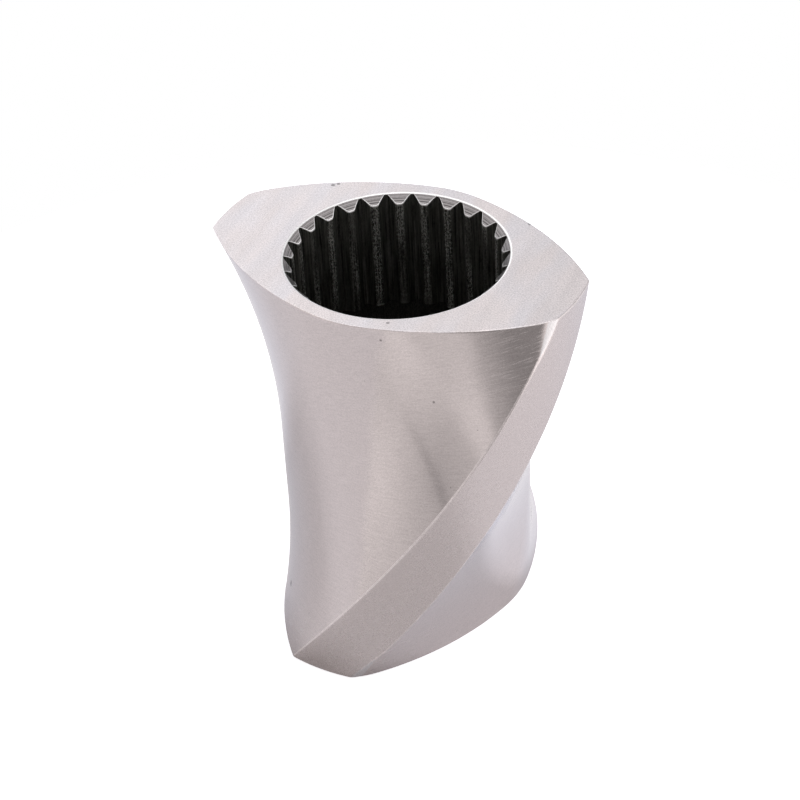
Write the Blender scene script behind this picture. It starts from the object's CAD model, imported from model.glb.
import math

import bpy
from mathutils import Matrix, Vector


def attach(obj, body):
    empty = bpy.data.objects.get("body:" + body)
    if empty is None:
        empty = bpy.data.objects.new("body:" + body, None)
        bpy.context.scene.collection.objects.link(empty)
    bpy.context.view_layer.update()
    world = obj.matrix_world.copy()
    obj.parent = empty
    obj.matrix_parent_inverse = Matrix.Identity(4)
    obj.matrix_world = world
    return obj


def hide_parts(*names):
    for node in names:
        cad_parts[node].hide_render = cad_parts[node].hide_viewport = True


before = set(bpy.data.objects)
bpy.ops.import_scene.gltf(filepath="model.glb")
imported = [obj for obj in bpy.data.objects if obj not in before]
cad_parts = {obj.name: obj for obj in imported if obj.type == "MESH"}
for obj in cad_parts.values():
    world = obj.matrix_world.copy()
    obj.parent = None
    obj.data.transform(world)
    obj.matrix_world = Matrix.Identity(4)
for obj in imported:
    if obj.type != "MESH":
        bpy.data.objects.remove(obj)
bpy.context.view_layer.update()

# Screw element: a sleeve of through-hardened steel with two right-hand flights. Its blank is
# turned, the flights are whirled and polished, the lands and end faces ground, and the bore
# broached to a spline between two countersunk mouths. It is one piece and slides on its shaft.

MM = 0.001
TIP_RADIUS = 35.6 * MM
CENTRE_DISTANCE = 59.0 * MM
LENGTH = 72.0 * MM
LEAD = 288.0 * MM
TEETH = 26
PITCH_RADIUS = 19.5 * MM
TOOTH_RADIUS = 19.0 * MM
MOUTH_RADIUS = 20.56 * MM
RELIEF_LENGTH = 24.0 * MM
CORNER_ON_TIP = 0.8 * MM
CORNER_ON_FLANK = 2.0 * MM
CORNER_LENGTH = 7.0 * MM


class Wire:
    """A node's socket that does sums: an expression on it adds Math nodes to its tree."""

    def __init__(self, tree, socket=None):
        self.tree = tree
        self.socket = socket

    def node(self, kind, settings=None, sockets=None, out=0):
        """Adds a node, with its settings first and then its sockets' values or wires."""
        made = self.tree.nodes.new(kind)
        for name, value in (settings or {}).items():
            setattr(made, name, value)
        for name, value in (sockets or {}).items():
            for each in value if isinstance(value, list) else [value]:
                if isinstance(each, Wire):
                    self.tree.links.new(each.socket, made.inputs[name])
                else:
                    made.inputs[name].default_value = each
        return Wire(self.tree, made.outputs[out] if made.outputs else None)

    def sum(self, operation, first, second):
        return self.node("ShaderNodeMath", {"operation": operation}, {0: first, 1: second})

    def __add__(self, other):
        return self.sum("ADD", self, other)

    def __sub__(self, other):
        return self.sum("SUBTRACT", self, other)

    def __rsub__(self, other):
        return self.sum("SUBTRACT", other, self)

    def __mul__(self, other):
        return self.sum("MULTIPLY", self, other)

    def __truediv__(self, other):
        return self.sum("DIVIDE", self, other)

    def __rtruediv__(self, other):
        return self.sum("DIVIDE", other, self)

    def __gt__(self, other):
        return self.sum("GREATER_THAN", self, other)

    __radd__ = __add__
    __rmul__ = __mul__


def worked(operation, first, second=0.0, third=0.0):
    """One of the Math node's functions, such as a sine or the smaller of two."""
    return first.node("ShaderNodeMath", {"operation": operation}, {0: first, 1: second, 2: third})


def rise(wire, start, end, amount, shape="LINEAR"):
    """Nothing up to start, the whole amount from end on, and a slope between them."""
    return wire.node("ShaderNodeMapRange", {"interpolation_type": shape},
                     {0: wire, 1: start, 2: end, 3: 0.0, 4: amount})


def blend_of(share, first, second):
    """first where share is 0 and second where it is 1, for numbers."""
    return first + (second - first) * share


# Finishes of the screw element. Steel everywhere; what differs is how each surface was cut.

def close_finish(finish, base_colour, roughness, normal=None, metallic=1.0):
    """Joins a finish's colour, roughness and surface normal into its one shader. Seen along the
    surface, steel is cooler than it is face on."""
    start = Wire(finish.node_tree)
    sockets = {"Base Color": base_colour, "Roughness": roughness, "Metallic": metallic,
               "Specular Tint": (0.90, 0.94, 1.0, 1.0)}
    if normal is not None:
        sockets["Normal"] = normal
    shader = start.node("ShaderNodeBsdfPrincipled", {}, sockets)
    start.node("ShaderNodeOutputMaterial", {}, {"Surface": shader})


def new_finish(name):
    """An empty material, its first wire, and its place on the piece in metres."""
    finish = bpy.data.materials.new(name)
    finish.use_nodes = True
    finish.node_tree.nodes.clear()
    start = Wire(finish.node_tree)
    return finish, start, start.node("ShaderNodeTexCoord", out="Object")


def steel(lightness):
    """The steel's colour, a little towards brown, at a lightness."""
    return (lightness * 1.055, lightness * 0.984, lightness * 0.995, 1.0)


def two_colours(share, first, second):
    return share.node("ShaderNodeMix", {"data_type": "RGBA"}, {0: share, 6: first, 7: second}, out=2)


def split(place):
    """The three parts of a place."""
    return [place.node("ShaderNodeSeparateXYZ", {}, {0: place}, out=number) for number in range(3)]


def grain(place, across, along_z, detail=4.0, roughness=0.55, turned=0.0):
    """Noise whose marks are across long in the level directions and along_z long in height."""
    level_x, level_y = across if isinstance(across, tuple) else (across, across)
    laid = place.node("ShaderNodeVectorRotate", {"rotation_type": "Z_AXIS"},
                      {"Vector": place, "Angle": turned})
    laid = laid.node("ShaderNodeMapping", {}, {
        "Vector": laid, "Scale": (1 / level_x, 1 / level_y, 1 / along_z)})
    return laid.node("ShaderNodeTexNoise", {"noise_dimensions": "3D"},
                     {"Vector": laid, "Scale": 1.0, "Detail": detail, "Roughness": roughness})


def on_square(place):
    """The place turned back with the flights, so that their tips lie along X at any height."""
    x, y, z = split(place)
    turned_by = (LENGTH - z) * (2 * math.pi / LEAD)
    square = place.node("ShaderNodeVectorRotate", {"rotation_type": "Z_AXIS"},
                        {"Vector": place, "Angle": turned_by})
    return split(square)[:2] + [z, turned_by]


def hairlines(place, slope, long, fine, detail=3.0):
    """Polishing lines that climb at a slope, of a length and a width."""
    across, out_y, z, turned_by = on_square(place)
    arc = (worked("ARCTAN2", out_y, across) - turned_by) * (30 * MM)
    along = arc * math.cos(slope) + z * math.sin(slope)
    over = z * math.cos(slope) - arc * math.sin(slope)
    laid = place.node("ShaderNodeCombineXYZ", {}, {0: along / long, 1: over / fine, 2: 0.0})
    return laid.node("ShaderNodeTexNoise", {"noise_dimensions": "2D"},
                     {"Vector": laid, "Scale": 1.0, "Detail": detail, "Roughness": 0.6})


def raised(start, height):
    """The normal of a surface with a height in metres on it."""
    return start.node("ShaderNodeBump", {}, {"Strength": 1.0, "Distance": 1.0, "Height": height})


def marks(place, spots):
    """1 on each spot, falling to nothing at its reach. A spot is a place and a reach in mm."""
    shown = 0.0
    for middle, reach in spots:
        away = place.node("ShaderNodeVectorMath", {"operation": "DISTANCE"},
                          {0: place, 1: tuple(part * MM for part in middle)}, out="Value")
        spot = 1 - rise(away, reach * MM * 0.5, reach * MM, 1.0, "SMOOTHSTEP")
        shown = worked("MAXIMUM", spot, shown)
    return shown


def off_axis(x, y):
    """How far a place is from the axis of the bore."""
    return worked("SQRT", x * x + y * y)


# polished channel: belted along lines that climb a little, more strongly beside each flight's end
channel_finish, start, place = new_finish("polished_channel")
across, out_y, z, turned_by = on_square(place)
beside_tip = rise(worked("ABSOLUTE", across), 17 * MM, 29 * MM, 1.0, "SMOOTHSTEP")
near_end = rise(worked("ABSOLUTE", z - LENGTH / 2), 18 * MM, 28 * MM, 1.0, "SMOOTHSTEP")
belted = beside_tip * near_end
coarse = hairlines(place, 0.26, 4 * MM, 0.32 * MM)
fine = hairlines(place, 0.10, 3 * MM, 0.13 * MM, detail=4.0)
unevenness = grain(place, 8 * MM, 9 * MM, detail=1.0)
speckle = grain(place, 0.28 * MM, 0.24 * MM, detail=3.0, roughness=0.7)
height = (coarse * (0.0004 + belted * 0.0065) + fine * 0.0012 + speckle * 0.0016
          + unevenness * 0.06)
tone = speckle * 0.6 + fine * 0.25 + coarse * 0.15
bare = two_colours(rise(tone, 0.40, 0.60, 1.0), steel(0.56), steel(0.685))
scattered = rise(grain(place, 0.9 * MM, 0.9 * MM, detail=2.0, roughness=0.8), 0.735, 0.76, 1.0)
specks = worked("MAXIMUM", scattered, marks(place, (
    ((9.0, -22.1, 69.8), 0.30), ((18.6, -21.5, 59.2), 0.30), ((-13.3, -23.9, 7.1), 0.8))))
lined = belted * rise(coarse, 0.50, 0.66, 0.17)
close_finish(channel_finish, two_colours(specks * 0.75, bare, steel(0.22)),
             0.07 + fine * 0.05 + speckle * 0.04 + specks * 0.2 + lined, raised(start, height * MM))

# ground land
land_finish, start, place = new_finish("ground_land")
lines = grain(place, 4 * MM, 0.10 * MM)
speckle = grain(place, 0.26 * MM, 0.24 * MM, detail=3.0, roughness=0.7)
clouds = grain(place, 6 * MM, 6 * MM, detail=2.0)
close_finish(land_finish,
             two_colours(rise(speckle * 0.8 + lines * 0.2, 0.36, 0.64, 1.0),
                         steel(0.56), steel(0.67)),
             0.20 + speckle * 0.08 + clouds * 0.06,
             raised(start, (lines * 0.0010 + speckle * 0.0008) * MM))

# eased edges of the flights, stoned by hand, so duller and lighter than the metal beside them
edge_finish, start, place = new_finish("stoned_edge")
wear = grain(place, 0.5 * MM, 0.5 * MM)
close_finish(edge_finish, two_colours(rise(wear, 0.35, 0.65, 1.0), steel(0.66), steel(0.82)),
             0.30 + wear * 0.12)

# end faces, surface ground, with the wheel's passes left as broad slanting bands
face_finish, start, place = new_finish("ground_end_face")
speckle = grain(place, 0.26 * MM, 0.26 * MM, detail=3.0, roughness=0.7)
clouds = grain(place, 7 * MM, 7 * MM, detail=2.0)
passes = grain(place, (2.8 * MM, 30 * MM), 30 * MM, detail=1.0, turned=-0.12)
cool = grain(place, (5 * MM, 16 * MM), 16 * MM, detail=1.0, turned=-0.12)
ground = two_colours(rise(cool, 0.35, 0.65, 1.0), (0.695, 0.638, 0.642, 1.0),
                     (0.675, 0.640, 0.665, 1.0))
shaded = two_colours(rise(speckle, 0.36, 0.64, 1.0), (0.79, 0.79, 0.79, 1.0),
                     (1.17, 1.17, 1.17, 1.0))
banded = two_colours(rise(passes * 0.7 + clouds * 0.3, 0.36, 0.64, 1.0), (0.955, 0.955, 0.955, 1.0),
                     (1.04, 1.04, 1.04, 1.0))
for tone in (shaded, banded):
    ground = ground.node("ShaderNodeVectorMath", {"operation": "MULTIPLY"}, {0: ground, 1: tone})
dents = marks(place, (((9.2, -19.7, 72.0), 0.4), ((-22.1, 15.3, 72.0), 0.55),
                      ((-21.4, 16.1, 72.0), 0.45), ((17.4, 18.7, 72.0), 0.5)))
close_finish(face_finish, two_colours(dents * 0.8, ground, steel(0.20)),
             0.28 + speckle * 0.10 + passes * 0.08, raised(start, speckle * (0.0022 * MM)))

# turned mouth of the bore: rings left by the tool across the tooth ends
mouth_finish, start, place = new_finish("turned_countersink")
x, y, z = split(place)
ring = place.node("ShaderNodeTexNoise", {"noise_dimensions": "1D"}, {
    "W": off_axis(x, y) / (0.16 * MM), "Scale": 1.0, "Detail": 1.0, "Roughness": 0.5})
smear = grain(place, 0.3 * MM, 0.3 * MM)
close_finish(mouth_finish,
             two_colours(rise(ring * 0.8 + smear * 0.2, 0.38, 0.53, 1.0), steel(0.07), steel(0.30)),
             0.30 + smear * 0.12, raised(start, (ring * 0.012 + smear * 0.006) * MM))

# burrs left at the mouth's edge and round each tooth's end: bright, torn metal
burr_finish, start, place = new_finish("burred_edge")
torn = grain(place, 0.18 * MM, 0.18 * MM)
close_finish(burr_finish, two_colours(rise(torn, 0.35, 0.5, 1.0), (0.70, 0.69, 0.69, 1.0),
                                      (0.97, 0.96, 0.96, 1.0)),
             0.34 + torn * 0.1, raised(start, torn * (0.03 * MM)), metallic=0.75)

# broached spline: torn along the bore, with bright streaks down the tooth tips and a bright burr
# at each tooth's foot, where the relief starts; the relief itself is plain and dark
spline_finish, start, place = new_finish("broached_spline")
streaks = grain(place, 0.30 * MM, 9 * MM, detail=4.0)
chips = grain(place, 0.20 * MM, 0.45 * MM, detail=3.0, roughness=0.7)
x, y, z = split(place)
on_tip = 1 - rise(off_axis(x, y) - TOOTH_RADIUS, 0.02 * MM, 0.25 * MM, 1.0)
patches = rise(grain(place, 4 * MM, 16 * MM, detail=1.0), 0.42, 0.60, 0.9)
scuffed = rise(chips * 0.7 + streaks * 0.3, 0.45, 0.60, 1.0) * (0.08 + on_tip * (0.2 + patches))
past_relief = worked("ABSOLUTE", z - LENGTH / 2) - RELIEF_LENGTH / 2
from_foot = worked("ABSOLUTE", past_relief - 0.2 * MM)
tooth_foot = (1 - rise(from_foot, 0.1 * MM, 0.3 * MM, 1.0)) * on_tip * patches
scuffed = worked("MAXIMUM", scuffed, tooth_foot)
broached = rise(streaks, 0.35, 0.7, 1.0) * rise(past_relief, -0.1 * MM, 0.1 * MM, 1.0)
close_finish(spline_finish,
             two_colours(scuffed, two_colours(broached, (0.07, 0.07, 0.065, 1.0),
                                              (0.28, 0.28, 0.26, 1.0)), (1.0, 1.0, 0.97, 1.0)),
             0.36 + streaks * 0.15,
             raised(start, (streaks * 0.012 + chips * (0.01 + on_tip * patches * 0.05)) * MM))

# corner of the flight, dressed by hand
corner_finish, start, place = new_finish("dressed_corner")
lines = grain(place, 0.15 * MM, 3 * MM)
close_finish(corner_finish, two_colours(rise(lines, 0.35, 0.65, 1.0), (0.66, 0.655, 0.68, 1.0),
                                        (0.78, 0.775, 0.80, 1.0)),
             0.16 + lines * 0.12)

# The shape. The section turns with height; a grid of columns round the piece and rows up it is
# bent to the flights and over the end face, and a second one lines the bore.

corner_angle = -(math.pi / 4 - math.acos(CENTRE_DISTANCE / (2 * TIP_RADIUS)))


def polar(radius, angle, z):
    return Vector((radius * math.cos(angle), radius * math.sin(angle), z))


corner = polar(TIP_RADIUS, corner_angle, LENGTH)
flank_centre = polar(TIP_RADIUS, math.pi / 2 - corner_angle, LENGTH)
on_tip = polar(TIP_RADIUS, corner_angle + CORNER_ON_TIP / TIP_RADIUS, LENGTH)
on_flank = flank_centre + Matrix.Rotation(-CORNER_ON_FLANK / CENTRE_DISTANCE, 3, "Z") @ (
    corner - flank_centre)
down_edge = polar(TIP_RADIUS, corner_angle - 2 * math.pi * CORNER_LENGTH / LEAD,
                  LENGTH - CORNER_LENGTH)
facet_normal = (on_flank - on_tip).cross(down_edge - on_tip).normalized()
if facet_normal.dot(corner) < 0:
    facet_normal.negate()

sizes = {
    "Tip Radius": TIP_RADIUS, "Centre Distance": CENTRE_DISTANCE, "Length": LENGTH, "Lead": LEAD,
    "Edge Round": 0.30 * MM, "Facet Blend": 0.70 * MM, "End Break": 0.15 * MM,
    "Facet Turn": math.atan2(facet_normal.y, facet_normal.x),
    "Facet Lean": math.asin(facet_normal.z), "Facet Reach": facet_normal.dot(on_tip),
    "Mouth Radius": MOUTH_RADIUS, "Mouth Break": 0.17 * MM, "Tooth Break": 0.20 * MM,
    "Pitch Radius": PITCH_RADIUS, "Base Radius": PITCH_RADIUS * math.cos(math.radians(45)),
    "Groove Radius": 20.4 * MM, "Tooth Radius": TOOTH_RADIUS, "Tooth Chamfer": 0.2 * MM,
    "Flank Play": 0.04 * MM, "Relief Radius": 21.0 * MM, "Relief Length": RELIEF_LENGTH,
    "Teeth": float(TEETH),
}
tree = bpy.data.node_groups.new("screw_element_shape", "GeometryNodeTree")
for name in sizes:
    tree.interface.new_socket(name, in_out="INPUT", socket_type="NodeSocketFloat")
tree.interface.new_socket("Geometry", in_out="OUTPUT", socket_type="NodeSocketGeometry")
start = Wire(tree)
given = {name: start.node("NodeGroupInput", out=number) for number, name in enumerate(sizes)}
tip, length = given["Tip Radius"], given["Length"]
COSINE_45 = 0.707
# both grids have the same columns: this many to half the pitch of the teeth
half_pitch = 8
columns = TEETH * 2 * half_pitch
quarter = columns // 4


def mesh_grid(rows):
    """A flat grid one unit apart, with each point's column and row."""
    grid = start.node("GeometryNodeMeshGrid", {}, {
        "Size X": float(columns), "Size Y": float(rows),
        "Vertices X": columns + 1, "Vertices Y": rows + 1})
    spot = start.node("GeometryNodeInputPosition")
    return (grid, spot.node("ShaderNodeSeparateXYZ", {}, {0: spot}, out=0) + columns / 2,
            spot.node("ShaderNodeSeparateXYZ", {}, {0: spot}, out=1) + rows / 2)


def bent(grid, radius, angle, height):
    """Puts the grid's points at a radius, an angle and a height."""
    level = start.node("ShaderNodeCombineXYZ", {}, {
        0: worked("COSINE", angle) * radius, 1: worked("SINE", angle) * radius, 2: height})
    return start.node("GeometryNodeSetPosition", {}, {"Geometry": grid, "Position": level})


def coat(geometry, finish, where=None):
    sockets = {"Geometry": geometry, "Material": finish}
    if where is not None:
        sockets["Selection"] = where
    return start.node("GeometryNodeSetMaterial", {}, sockets)


def facet_reach(angle, height):
    """How far out the dressed corners' planes let the metal stand."""
    facing = worked("ABSOLUTE", worked("COSINE", angle - given["Facet Turn"]))
    least_facing = 0.05
    return (given["Facet Reach"] - worked("SINE", given["Facet Lean"]) * height) / (
        worked("COSINE", given["Facet Lean"]) * worked("MAXIMUM", facing, least_facing))


# Flights and end face. Columns crowd at the flight's edge: on the tip from edge_near, round the
# edge from edge_start to edge_end, and on the flank to edge_far. Rows crowd down the dressed
# corner, then go round the end's break (bend), and in over the face to the mouth.
rows_low, rows_top = 28, 32
bend = rows_low + rows_top
edge_near, edge_start, edge_end, edge_far, root = 8, 12, 22, 36, 92
edge_round, edge_on_tip, edge_on_flank = 0.35 * MM, 1.05 * MM, 2.4 * MM
dressed_rows = CORNER_LENGTH + 1 * MM
rim = 0.12 * MM
grid, column, row = mesh_grid(bend + 8)
half_turn = worked("ROUND", column / (2 * quarter))
off = column - half_turn * (2 * quarter)
side = worked("SIGN", off)
step = worked("ABSOLUTE", off)
half_tip = math.pi / 4 - worked("ARCCOSINE", given["Centre Distance"] / (tip * 2))
flank_rate = given["Centre Distance"] / (tip * tip * 2)
local = (rise(step, 0, edge_near, half_tip - edge_on_tip / tip)
         + rise(step, edge_near, edge_start, (edge_on_tip - edge_round) / tip)
         + rise(step, edge_start, edge_end, edge_round / tip + edge_round * flank_rate)
         + rise(step, edge_end, edge_far, (edge_on_flank - edge_round) * flank_rate)
         + rise(step, edge_far, root, math.pi / 2 - half_tip * 2 - edge_on_flank * flank_rate)
         + rise(step, root, quarter, half_tip))
height = (length / 2
          + rise(row, 0, rows_low, length / 2 - dressed_rows)
          + rise(row, rows_low, bend, dressed_rows - given["End Break"])
          + rise(row, bend, bend + 1, given["End Break"] * COSINE_45)
          + rise(row, bend + 1, bend + 2, given["End Break"] * (1 - COSINE_45)))
inset = (rise(row, bend, bend + 1, given["End Break"] * (1 - COSINE_45))
         + rise(row, bend + 1, bend + 2, given["End Break"] * COSINE_45)
         + rise(row, bend + 2, bend + 3, rim))
from_root = worked("MAXIMUM", math.pi / 2 - half_tip - local, 0.0)
sine_part = worked("SINE", from_root) * tip
flank = worked("SQRT", given["Centre Distance"] * given["Centre Distance"] - sine_part * sine_part) - (
    worked("COSINE", from_root) * tip)
angle = half_turn * math.pi + side * local - (length - height) * (2 * math.pi) / given["Lead"]
wall = worked("SMOOTH_MIN", flank, facet_reach(angle, height), given["Facet Blend"])
wall = worked("SMOOTH_MIN", wall, tip, given["Edge Round"])
inward = rise(row, bend + 3, bend + 7, 1.0)
mouth_edge = given["Mouth Radius"] + given["Mouth Break"]
even = column * (2 * math.pi / columns)
outer = bent(grid,
             blend_of(inward, wall - inset, mouth_edge + rim)
             - rise(row, bend + 7, bend + 8, rim),
             blend_of(inward, angle, even), height)
x, y, z = split(start.node("GeometryNodeInputPosition"))
reach = off_axis(x, y)
outer = coat(outer, channel_finish)
outer = coat(outer, edge_finish, reach > tip - 0.20 * MM)
outer = coat(outer, land_finish, reach > tip - 0.035 * MM)
outer = coat(outer, corner_finish,
             reach > facet_reach(worked("ARCTAN2", y, x), z) - 0.05 * MM)
outer = coat(outer, face_finish, z > length - rim)

# Bore, from the top face down to half its length. Rows 0 to 2 are the mouth's edge, 2 to 9 its
# cone, 9 to 11 the edges of the teeth's ends, 11 to 16 the teeth, 16 to 17 the step out to the
# relief, and 17 to 20 the relief.
grid, column, row = mesh_grid(20)
grid = coat(grid, spline_finish)
grid = coat(grid, burr_finish, 2 - row)
grid = coat(grid, mouth_finish, (row > 2) - (row > 9))
grid = coat(grid, burr_finish, (row > 9) - (row > 11))
tooth = worked("ROUND", column / (2 * half_pitch))
off = column - tooth * (2 * half_pitch)
side = worked("SIGN", off)
step = worked("ABSOLUTE", off)


def involute(radius):
    """The angle that an involute has turned through at a radius."""
    pressure = worked("ARCCOSINE", given["Base Radius"] / radius)
    return worked("TANGENT", pressure) - pressure


def half_groove(radius):
    """Half the angle of a groove between two teeth, at a radius."""
    return (math.pi / 2 / given["Teeth"] + given["Flank Play"] / given["Pitch Radius"]
            + involute(given["Pitch Radius"]) - involute(radius))


tooth_radius, groove_radius = given["Tooth Radius"], given["Groove Radius"]
flank_start = tooth_radius + given["Tooth Chamfer"] * given["Base Radius"] / tooth_radius
on_flank_radius = groove_radius - rise(step, 1, 5, groove_radius - flank_start)
tooth_edge = half_groove(tooth_radius) + given["Tooth Chamfer"] / tooth_radius
in_tooth = (half_groove(on_flank_radius) - half_groove(groove_radius)
            + rise(step, 0, 1, half_groove(groove_radius))
            + rise(step, 5, 6, tooth_edge - half_groove(flank_start))
            + rise(step, 6, half_pitch, math.pi / given["Teeth"] - tooth_edge))
bore = on_flank_radius - rise(step, 5, 6, flank_start - tooth_radius)
toothed = tooth * (2 * math.pi) / given["Teeth"] + side * in_tooth
even = column * (2 * math.pi / columns)
mouth, broken = given["Mouth Radius"], given["Mouth Break"]
eased = given["Tooth Break"] * (0.25 + rise(step, 0, 4, 0.75))
sunk = mouth - bore
on_cone = rise(row, 2, 3, 0.1) + rise(row, 3, 8, 0.8) + rise(row, 8, 9, 0.1)
cone = (sunk - (eased + broken) * COSINE_45) * on_cone
tooth_end = rise(row, 9, 10, eased * 0.55) + rise(row, 10, 11, eased * (COSINE_45 - 0.55))
wall_start, first_step = length - sunk - eased, 0.1 * MM
shelf = length / 2 + given["Relief Length"] / 2
down = (rise(row, 0, 1, broken * 0.3) + rise(row, 1, 2, broken * (COSINE_45 - 0.3))
        + cone
        + rise(row, 9, 10, eased * 0.75) + rise(row, 10, 11, eased * (COSINE_45 + 0.25))
        + rise(row, 11, 12, first_step)
        + rise(row, 12, 16, wall_start - first_step - shelf)
        + rise(row, 17, 20, shelf - length / 2))
radius = (mouth + broken
          - rise(row, 0, 1, broken * 0.7) - rise(row, 1, 2, broken * (COSINE_45 + 0.3))
          - cone - tooth_end
          + rise(row, 16, 17, given["Relief Radius"] - bore))
inner = bent(grid, radius,
             blend_of(rise(row, 2, 8, 1.0), even, toothed), length - down)
# the lower half: the flights turned over about the level line they share, the bore mirrored
turned = start.node("GeometryNodeTransform", {}, {
    "Geometry": outer, "Rotation": (math.pi, 0.0, -math.pi / 2), "Translation":
    start.node("ShaderNodeCombineXYZ", {}, {2: length})})
mirrored = start.node("GeometryNodeTransform", {}, {
    "Geometry": inner, "Scale": (1.0, 1.0, -1.0), "Translation":
    start.node("ShaderNodeCombineXYZ", {}, {2: length})})
mirrored = start.node("GeometryNodeFlipFaces", {}, {"Mesh": mirrored})
whole = start.node("GeometryNodeJoinGeometry", {}, {0: [outer, turned, inner, mirrored]})
whole = start.node("GeometryNodeMergeByDistance", {}, {"Geometry": whole, "Distance": 0.001 * MM})
whole = start.node("GeometryNodeRealizeInstances", {}, {"Geometry": whole})
start.node("NodeGroupOutput", {}, {0: whole})

screw_element = bpy.data.objects.new("screw_element_steel", bpy.data.meshes.new("blank"))
bpy.context.scene.collection.objects.link(screw_element)
shaping = screw_element.modifiers.new("shape", "NODES")
shaping.node_group = tree
for item in tree.interface.items_tree:
    if item.name in sizes:
        shaping[item.identifier] = sizes[item.name]
graph = bpy.context.evaluated_depsgraph_get()
shaped = bpy.data.meshes.new_from_object(screw_element.evaluated_get(graph))
screw_element.modifiers.clear()
screw_element.data = shaped
shaped.name = "screw_element_steel"
shaped.shade_smooth()
shaped.set_sharp_from_angle(angle=math.radians(35))
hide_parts("screw_element")
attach(screw_element, "root")

# Table: a white laminate board under the piece, at the height of its bottom face. To the camera
# it is plain white, and the steel mirrors it as the laminate that it is.

def kinds_of_ray(start):
    """Whether a ray is the camera's, a mirrored one, or one through glass: 1 where it is."""
    return [start.node("ShaderNodeLightPath", out=name)
            for name in ("Is Camera Ray", "Is Glossy Ray", "Is Transmission Ray")]


table = bpy.data.meshes.new("table")
table_radius, table_sides = 160 * MM, 96
table.from_pydata([polar(table_radius, 2 * math.pi * n / table_sides, 0.0)
                   for n in range(table_sides)], [], [tuple(range(table_sides))])
board = bpy.data.objects.new("table", table)
bpy.context.scene.collection.objects.link(board)
board_finish, start, place = new_finish("white_board")
camera_ray, glossy_ray, through_ray = kinds_of_ray(start)
laminate = start.node("ShaderNodeBsdfPrincipled", {}, {
    "Base Color": (0.78, 0.745, 0.732, 1.0), "Roughness": 0.6})
shine = start.node("ShaderNodeEmission", {}, {
    "Color": (1.08, 0.985, 0.94, 1.0), "Strength": (glossy_ray + through_ray) * 0.05})
clean = start.node("ShaderNodeBsdfDiffuse", {}, {"Color": (0.8, 0.8, 0.82, 1.0)})
white = start.node("ShaderNodeEmission", {}, {"Color": (1.0, 1.0, 1.0, 1.0), "Strength": 0.72})
start.node("ShaderNodeOutputMaterial", {}, {"Surface": start.node("ShaderNodeMixShader", {}, {
    0: camera_ray,
    1: start.node("ShaderNodeAddShader", {}, {0: laminate, 1: shine}),
    2: start.node("ShaderNodeAddShader", {}, {0: clean, 1: white})})})
table.materials.append(board_finish)

# Light: a white tent with its front open, brightest overhead, with a dim stripe down its back. Its
# left wall ends in a post, and through the opening come a pale screen, the dim place where one
# stands, and a bright screen on the right. Two lamps shine in, from high at the back and the right.
CAMERA_TURN = 30.846
FRONT = math.radians(CAMERA_TURN - 90)
world = bpy.data.worlds.new("tent")
bpy.context.scene.world = world
world.use_nodes = True
world.node_tree.nodes.clear()
start = Wire(world.node_tree)
x, y, z = split(start.node("ShaderNodeTexCoord", out="Generated"))
camera_ray, glossy_ray, through_ray = kinds_of_ray(start)
# bearing and climb are in degrees: to the right of the front, and up from level
forward = x * math.cos(FRONT) + y * math.sin(FRONT)
across = y * math.cos(FRONT) - x * math.sin(FRONT)
bearing = worked("ARCTAN2", across, forward) * (180 / math.pi)
climb = worked("ARCSINE", z) * (180 / math.pi)
slant = bearing + climb


def soft(wire, start, end, amount=1.0):
    return rise(wire, start, end, amount, "SMOOTHSTEP")


# how bright each part of the tent is
left_wall = 0.55 + rise(bearing, -43, -64, 0.14) + rise(climb, 1, -13, 0.18)
opening = 0.76 - rise(climb, -17, -1, 0.24) + rise(bearing, -42, -20, 0.14)
screen = 0.74 + soft(climb, -8, 2, 0.10)
dim_place = 0.74 - soft(slant, -10, -1, 0.18) - rise(slant, -4, 14, 0.25)
right_screen, over_opening, roof = 1.35, 1.30, 1.8
front = blend_of(soft(bearing, -43.0, -41.6), left_wall, opening)
front = blend_of(soft(bearing, -26, -18), front, screen)
front = blend_of(soft(bearing + climb * 0.5, -13, -6), front, dim_place)
front = blend_of(soft(bearing, 32, 44), front, right_screen)
post = soft(bearing, -44, -42.6) * (1 - soft(bearing, -41, -38)) * rise(climb, -16, -3, 0.12)
front = front - post
front = blend_of(soft(climb, 17, 36), front, over_opening)
back_wall = 1.32 - rise(across, 0.0, 0.20, 0.76) + rise(across, 0.35, 0.70, 0.50)
level = blend_of(soft(forward, 0.12, -0.62), front, back_wall)
level = blend_of(soft(climb, 66, 80), level, roof)
plain = 0.345
mirrored = worked("MAXIMUM", glossy_ray, through_ray)
warm = worked("MAXIMUM", rise(forward, -0.5, 0.0, 1.0) * (1 - soft(climb, 10, 40)), 1 - mirrored)
tint = two_colours(warm, (1.0, 1.0, 0.995, 1.0), (1.05, 0.992, 0.965, 1.0))
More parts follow.
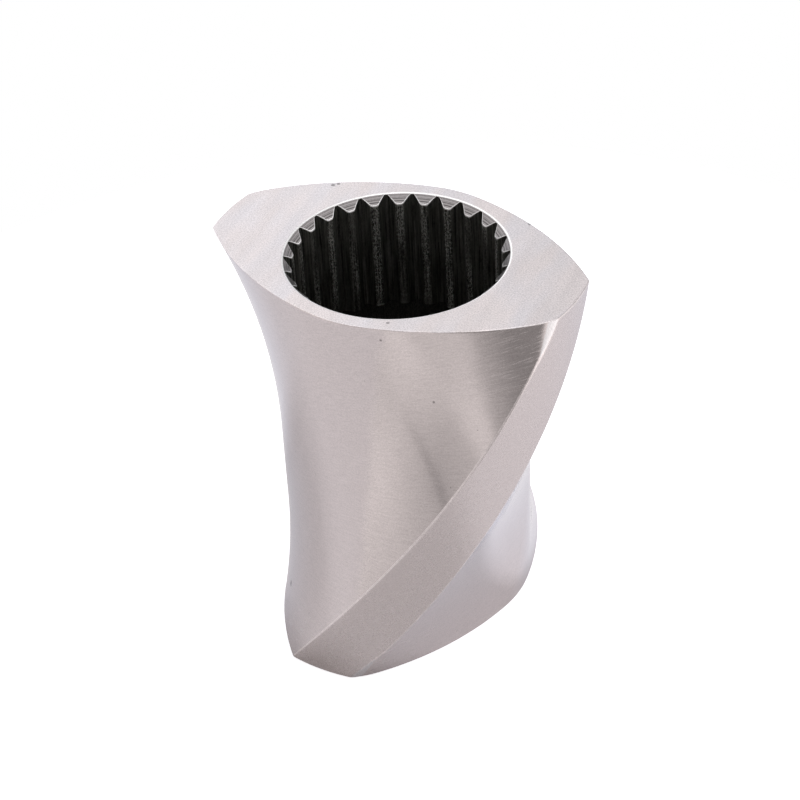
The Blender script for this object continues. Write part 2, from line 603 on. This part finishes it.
tint = two_colours(camera_ray, tint, (1.0, 1.0, 1.0, 1.0))
glow = start.node("ShaderNodeBackground", {}, {
    "Color": tint, "Strength": blend_of(camera_ray, blend_of(mirrored, plain, level), 1.0)})
start.node("ShaderNodeOutputWorld", {}, {"Surface": glow})


def softbox(name, bearing_from_front, elevation, distance, size, watts):
    """A square lamp that shines at the piece. It shows on the table and not in the steel."""
    data = bpy.data.lights.new(name, "AREA")
    data.shape, data.size, data.energy = "SQUARE", size, watts
    data.color = (0.975, 1.0, 1.045)
    lamp = bpy.data.objects.new(name, data)
    turn, rise_by = FRONT + math.radians(bearing_from_front), math.radians(elevation)
    lamp.location = Vector((math.cos(turn) * math.cos(rise_by), math.sin(turn) * math.cos(rise_by),
                            math.sin(rise_by))) * distance
    lamp.rotation_mode = "QUATERNION"
    lamp.rotation_quaternion = (-lamp.location).to_track_quat("-Z", "Y")
    lamp.visible_glossy = False
    bpy.context.scene.collection.objects.link(lamp)


softbox("back_softbox", 180, 50, 0.9, 0.20, 3.9)
softbox("side_softbox", 87, 57, 0.9, 0.30, 3.3)

# Camera: a long lens from the front and a third of the way up.
azimuth, elevation, roll = (math.radians(a) for a in (CAMERA_TURN, 36.881, -3.220))
target = Vector((-0.7325, -0.4374, 39.1152)) * MM
distance = 431.15 * MM
back = Vector((math.sin(azimuth) * math.cos(elevation), -math.cos(azimuth) * math.cos(elevation),
               math.sin(elevation)))
camera_data = bpy.data.cameras.new("camera")
camera_data.sensor_width = 36.0
camera_data.lens = 103.31
camera_data.clip_start, camera_data.clip_end = 0.01, 10.0
camera = bpy.data.objects.new("camera", camera_data)
camera.rotation_mode = "QUATERNION"
camera.rotation_quaternion = (Matrix.Rotation(azimuth, 3, "Z")
                              @ Matrix.Rotation(math.pi / 2 - elevation, 3, "X")
                              @ Matrix.Rotation(roll, 3, "Z")).to_quaternion()
camera.location = target + back * distance
bpy.context.scene.collection.objects.link(camera)
bpy.context.scene.camera = camera
bpy.context.scene.view_settings.view_transform = "Standard"

bpy.context.view_layer.update()
